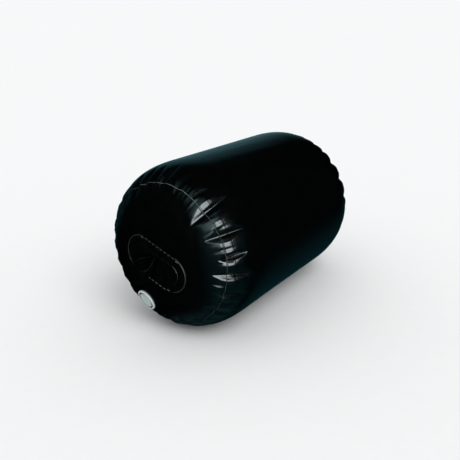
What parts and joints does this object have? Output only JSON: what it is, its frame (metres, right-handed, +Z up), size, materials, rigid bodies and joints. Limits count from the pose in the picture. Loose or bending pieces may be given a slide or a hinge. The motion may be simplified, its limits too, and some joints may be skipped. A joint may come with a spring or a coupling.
{
  "type": "boat fender",
  "caption": "Air-filled cylindrical boat fender of black coated fabric, with gathered round ends, a webbing loop on a patch at each end and a screw-capped valve.",
  "frame": {"origin": "bottom centre of the whole fender, on the flat spot that it lies on", "axes": "+X along the fender, from the end with the valve to the other end, +Z up"},
  "size_m": [0.857, 0.457, 0.4515],
  "materials": {
    "coated_fabric": "black coated fabric, glossy, with a fine leathery grain",
    "coated_tape": "black coated tape, glossy, with a pale cut edge",
    "coated_patch": "black coated fabric, satin, stitched along its long edges",
    "webbing": "black woven webbing",
    "valve_moulding": "pale grey moulded plastic, satin",
    "soft_rubber": "black rubber, matte",
    "spring_steel": "drawn spring wire"
  },
  "bodies": {
    "root": {"air_bag": "coated_fabric", "seam_tape_near": "coated_tape", "seam_tape_far": "coated_tape", "end_patch_near": "coated_patch", "end_patch_far": "coated_patch", "patch_cover_near": "coated_patch", "patch_cover_far": "coated_patch", "webbing_loop_near": "webbing", "webbing_loop_far": "webbing", "valve_housing": "valve_moulding", "valve_cap": "valve_moulding", "valve_cap_seal": "soft_rubber", "valve_stem": "valve_moulding", "valve_spring": "spring_steel", "valve_diaphragm": "soft_rubber"}
  },
  "joints": []
}
